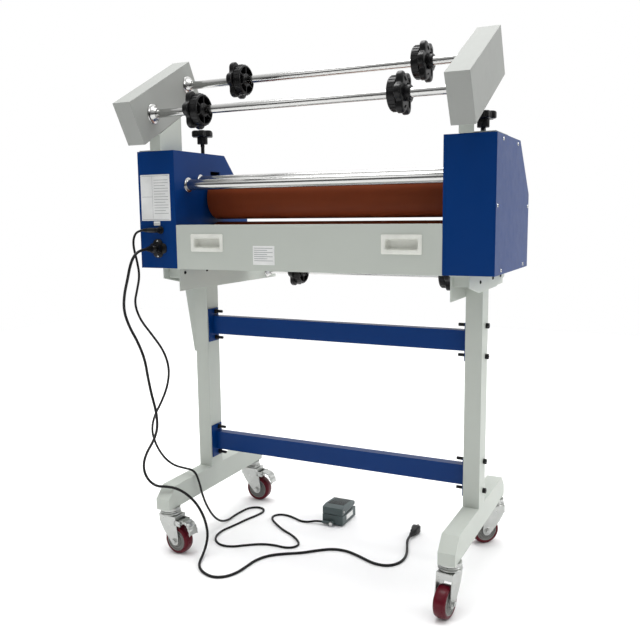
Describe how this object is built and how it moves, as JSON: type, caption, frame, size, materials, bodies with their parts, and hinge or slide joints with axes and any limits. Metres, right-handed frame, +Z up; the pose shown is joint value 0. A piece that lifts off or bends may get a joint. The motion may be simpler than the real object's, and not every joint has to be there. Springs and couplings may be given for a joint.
{
  "type": "cold_roll_laminator",
  "caption": "Free-standing cold roll laminator on a wheeled stand, with silicone pressure rollers, screw pressure knobs, film shafts with core chucks and a foot switch",
  "frame": {"origin": "on the floor, at the middle of the machine's length and width", "axes": "+X along the rollers, towards the end without the sockets; +Y towards the operator's side; +Z up"},
  "size_m": [0.9416, 0.6504, 1.2932],
  "materials": {
    "painted_steel_light": "satin",
    "painted_steel_blue": "satin",
    "chromed_steel": "polished",
    "zinc_plated_steel": "satin",
    "black_oxide_steel": "satin",
    "silicone_rubber": "matte",
    "red_polyurethane": "satin",
    "black_plastic": "satin",
    "white_plastic": "satin",
    "grey_plastic": "satin",
    "motor_metal": "satin",
    "black_cable": "satin"
  },
  "bodies": {
    "machine": {"left_leg": "painted_steel_light", "right_leg": "painted_steel_light", "left_leg_bracket": "painted_steel_light", "right_leg_bracket": "painted_steel_light", "upper_crossbar": "painted_steel_blue", "lower_crossbar": "painted_steel_blue", "stand_screws": "black_oxide_steel", "caster_stems": "zinc_plated_steel", "side_frames": "painted_steel_blue", "left_housing_shell": "painted_steel_blue", "right_housing_shell": "painted_steel_blue", "end_covers": "painted_steel_blue", "cover_screws": "zinc_plated_steel", "rear_panel": "painted_steel_light", "panel_handles": "white_plastic", "feed_board": "painted_steel_light", "arm_boxes": "painted_steel_light", "arm_brackets": "painted_steel_light", "flanged_bushes": "chromed_steel", "drive_motor": "motor_metal", "control_panel": "grey_plastic", "rear_sockets": "black_plastic", "pedal_base": "grey_plastic", "pedal_cord": "black_cable", "power_cord": "black_cable", "pedal_plug": "black_plastic", "inlet_plug": "black_plastic", "mains_plug": "black_plastic"},
    "nip_carriage": {"bearing_blocks": "zinc_plated_steel"},
    "upper_roller": {"upper_roller_core": "zinc_plated_steel", "upper_roller_sleeve": "silicone_rubber"},
    "lower_roller": {"lower_roller_core": "zinc_plated_steel", "lower_roller_sleeve": "silicone_rubber", "roller_gear": "zinc_plated_steel"},
    "pinion": {"motor_pinion": "zinc_plated_steel"},
    "front_guide": {"front_guide_roller": "chromed_steel"},
    "rear_guide": {"rear_guide_roller": "chromed_steel"},
    "front_shaft": {"front_film_shaft": "chromed_steel"},
    "rear_shaft": {"rear_film_shaft": "chromed_steel"},
    "lower_shaft": {"lower_film_shaft": "chromed_steel", "lower_chucks": "black_plastic"},
    "front_chuck_left": {"front_left_chuck": "black_plastic"},
    "front_chuck_right": {"front_right_chuck": "black_plastic"},
    "rear_chuck_left": {"rear_left_chuck": "black_plastic"},
    "rear_chuck_right": {"rear_right_chuck": "black_plastic"},
    "left_knob": {"left_pressure_screw": "black_plastic"},
    "right_knob": {"right_pressure_screw": "black_plastic"},
    "speed_dial": {"speed_knob": "black_plastic"},
    "treadle": {"pedal_treadle": "grey_plastic"},
    "left_front_fork": {"left_front_caster_fork": "zinc_plated_steel"},
    "left_front_wheel": {"left_front_caster_wheel": "red_polyurethane"},
    "left_front_brake": {"left_front_caster_brake": "zinc_plated_steel"},
    "left_rear_fork": {"left_rear_caster_fork": "zinc_plated_steel"},
    "left_rear_wheel": {"left_rear_caster_wheel": "red_polyurethane"},
    "left_rear_brake": {"left_rear_caster_brake": "zinc_plated_steel"},
    "right_front_fork": {"right_front_caster_fork": "zinc_plated_steel"},
    "right_front_wheel": {"right_front_caster_wheel": "red_polyurethane"},
    "right_rear_fork": {"right_rear_caster_fork": "zinc_plated_steel"},
    "right_rear_wheel": {"right_rear_caster_wheel": "red_polyurethane"}
  },
  "joints": [
    {"name": "lower_roller_spin", "type": "hinge", "parent": "machine", "child": "lower_roller", "pos_m": [0, -0.0224, 0.818], "axis": [1, 0, 0], "continuous": true},
    {"name": "motor_spin", "type": "hinge", "parent": "machine", "child": "pinion", "pos_m": [-0.38, 0.03822, 0.853], "axis": [1, 0, 0], "continuous": true},
    {"name": "nip_lift", "type": "slide", "parent": "machine", "child": "nip_carriage", "axis": [0, 0, 1], "range_m": [-0.006, 0.012]},
    {"name": "left_knob_spin", "type": "hinge", "parent": "nip_carriage", "child": "left_knob", "pos_m": [-0.388, -0.0224, 1.1], "axis": [0, 0, 1], "range_deg": [-1081, 2161]},
    {"name": "right_knob_spin", "type": "hinge", "parent": "nip_carriage", "child": "right_knob", "pos_m": [0.388, -0.0224, 1.1], "axis": [0, 0, 1], "range_deg": [-1081, 2161]},
    {"name": "upper_roller_spin", "type": "hinge", "parent": "nip_carriage", "child": "upper_roller", "pos_m": [0, -0.0224, 0.935], "axis": [1, 0, 0], "continuous": true},
    {"name": "front_guide_spin", "type": "hinge", "parent": "machine", "child": "front_guide", "pos_m": [0, -0.1474, 0.969], "axis": [1, 0, 0], "continuous": true},
    {"name": "rear_guide_spin", "type": "hinge", "parent": "machine", "child": "rear_guide", "pos_m": [0, -0.0924, 0.983], "axis": [1, 0, 0], "continuous": true},
    {"name": "front_shaft_spin", "type": "hinge", "parent": "machine", "child": "front_shaft", "pos_m": [0, -0.2361, 1.1407], "axis": [1, 0, 0], "continuous": true},
    {"name": "rear_shaft_spin", "type": "hinge", "parent": "machine", "child": "rear_shaft", "pos_m": [0, -0.0847, 1.2299], "axis": [1, 0, 0], "continuous": true},
    {"name": "lower_shaft_spin", "type": "hinge", "parent": "machine", "child": "lower_shaft", "pos_m": [0, 0.2736, 0.718], "axis": [1, 0, 0], "continuous": true},
    {"name": "front_left_chuck_slide", "type": "slide", "parent": "front_shaft", "child": "front_chuck_left", "axis": [1, 0, 0], "range_m": [-0.08, 0.2]},
    {"name": "front_right_chuck_slide", "type": "slide", "parent": "front_shaft", "child": "front_chuck_right", "axis": [1, 0, 0], "range_m": [-0.2, 0.07]},
    {"name": "rear_left_chuck_slide", "type": "slide", "parent": "rear_shaft", "child": "rear_chuck_left", "axis": [1, 0, 0], "range_m": [-0.1, 0.2]},
    {"name": "rear_right_chuck_slide", "type": "slide", "parent": "rear_shaft", "child": "rear_chuck_right", "axis": [1, 0, 0], "range_m": [-0.2, 0.07]},
    {"name": "speed_dial_turn", "type": "hinge", "parent": "machine", "child": "speed_dial", "pos_m": [-0.406, 0.10138, 0.97427], "axis": [0, 0.7248, 0.6889], "range_deg": [0, 270]},
    {"name": "left_front_swivel", "type": "hinge", "parent": "machine", "child": "left_front_fork", "pos_m": [-0.384, -0.2304, 0.11], "axis": [0, 0, 1], "continuous": true},
    {"name": "left_front_roll", "type": "hinge", "parent": "left_front_fork", "child": "left_front_wheel", "pos_m": [-0.35615, -0.23333, 0.0375], "axis": [0.1045, 0.9945, 0], "continuous": true},
    {"name": "left_front_brake_press", "type": "hinge", "parent": "left_front_fork", "child": "left_front_brake", "pos_m": [-0.34024, -0.235, 0.086], "axis": [0.1045, 0.9945, 0], "range_deg": [0, 10]},
    {"name": "left_rear_swivel", "type": "hinge", "parent": "machine", "child": "left_rear_fork", "pos_m": [-0.384, 0.1856, 0.11], "axis": [0, 0, 1], "continuous": true},
    {"name": "left_rear_roll", "type": "hinge", "parent": "left_rear_fork", "child": "left_rear_wheel", "pos_m": [-0.35602, 0.18658, 0.0375], "axis": [-0.0349, 0.9994, 0], "continuous": true},
    {"name": "left_rear_brake_press", "type": "hinge", "parent": "left_rear_fork", "child": "left_rear_brake", "pos_m": [-0.34003, 0.18714, 0.086], "axis": [-0.0349, 0.9994, 0], "range_deg": [0, 10]},
    {"name": "right_front_swivel", "type": "hinge", "parent": "machine", "child": "right_front_fork", "pos_m": [0.384, -0.2304, 0.11], "axis": [0, 0, 1], "continuous": true},
    {"name": "right_front_roll", "type": "hinge", "parent": "right_front_fork", "child": "right_front_wheel", "pos_m": [0.38059, -0.25819, 0.0375], "axis": [0.9925, -0.1219, 0], "continuous": true},
    {"name": "right_rear_swivel", "type": "hinge", "parent": "machine", "child": "right_rear_fork", "pos_m": [0.384, 0.1856, 0.11], "axis": [0, 0, 1], "continuous": true},
    {"name": "right_rear_roll", "type": "hinge", "parent": "right_rear_fork", "child": "right_rear_wheel", "pos_m": [0.36319, 0.16686, 0.0375], "axis": [0.6691, -0.7431, 0], "continuous": true},
    {"name": "treadle_press", "type": "hinge", "parent": "machine", "child": "treadle", "pos_m": [-0.058, 0.1026, 0.041], "axis": [1, 0, 0], "range_deg": [-5, 0], "stiffness_Nm_per_rad": 0.5, "springref_deg": 22.92}
  ],
  "couplings": [
    {"joint": "motor_spin", "follows": "lower_roller_spin", "ratio": -2.5},
    {"joint": "upper_roller_spin", "follows": "lower_roller_spin", "ratio": -1},
    {"joint": "left_knob_spin", "follows": "nip_lift", "rad_per_m": 3141.6},
    {"joint": "right_knob_spin", "follows": "nip_lift", "rad_per_m": 3141.6}
  ]
}
